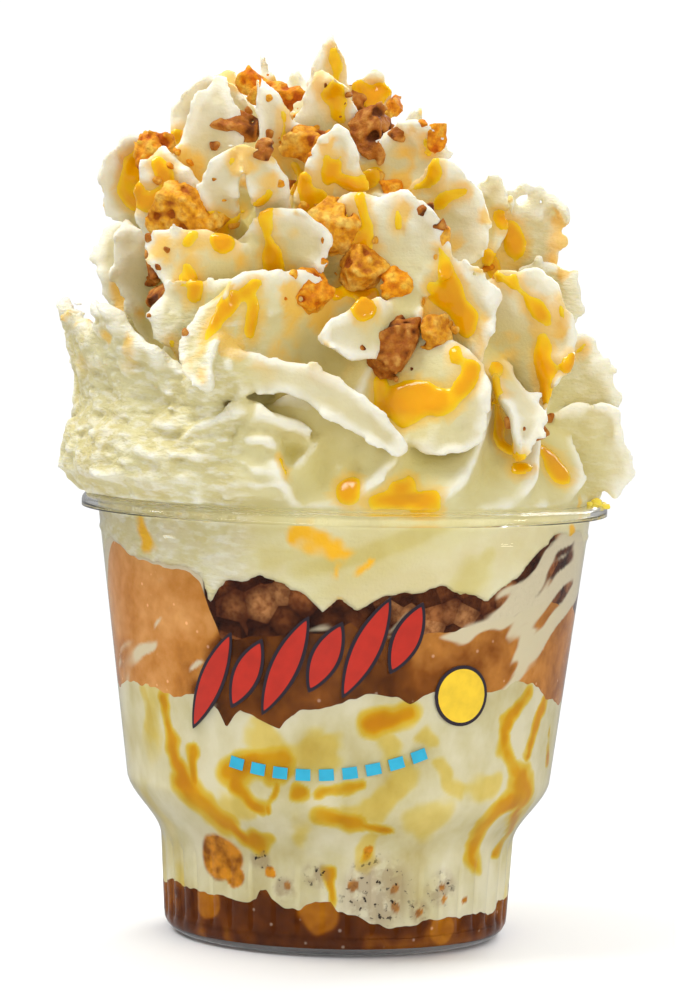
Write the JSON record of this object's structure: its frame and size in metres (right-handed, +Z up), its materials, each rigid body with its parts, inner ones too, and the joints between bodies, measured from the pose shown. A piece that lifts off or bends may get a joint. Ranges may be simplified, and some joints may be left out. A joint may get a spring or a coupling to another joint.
{
  "type": "ice cream sundae",
  "caption": "Layered ice cream sundae in a clear stepped cup: stewed fruit, ice cream, crumble and a tall head of piped cream with caramel and broken crust.",
  "frame": {"origin": "centre of the underside of the cup's base, on the table", "axes": "+Z up along the cup's axis; -Y is the front, which shows the print area"},
  "size_m": [0.0986, 0.0928, 0.156],
  "materials": {
    "clear_cup": "clear, thin, glossy",
    "compote": "wet, syrupy, dark brown",
    "ice_cream": "smooth, soft, pale yellow with caramel streaks",
    "apple": "wet, glossy, orange brown",
    "crumble": "rough broken crust",
    "cream": "soft satin, piped and partly torn",
    "crust": "baked, crumbly, glazed in places",
    "dark_crust": "dark baked, crumbly",
    "orange_crust": "golden baked, soaked with caramel",
    "caramel": "wet, glossy, half clear"
  },
  "bodies": {
    "root": {"cup": "clear_cup", "compote_bottom": "compote", "ice_cream": "ice_cream", "compote_middle": "apple", "crust_layer": "crumble", "whipped_cream": "cream", "crust_piece_01": "dark_crust", "crust_piece_02": "crust", "crust_piece_03": "orange_crust", "crust_piece_04": "orange_crust", "crust_piece_05": "crust", "crust_piece_06": "dark_crust", "crust_piece_07": "dark_crust", "crust_piece_08": "crust", "crust_piece_09": "crust", "crust_piece_10": "orange_crust", "crust_piece_11": "orange_crust", "crust_piece_12": "dark_crust", "crust_piece_13": "crust", "crust_piece_14": "orange_crust", "crust_piece_15": "dark_crust", "crust_piece_16": "dark_crust", "crust_piece_17": "dark_crust", "crust_piece_18": "crust", "crust_piece_19": "dark_crust", "crust_piece_20": "crust", "crust_piece_21": "orange_crust", "crust_piece_22": "crust", "crust_piece_23": "dark_crust"}
  },
  "joints": []
}
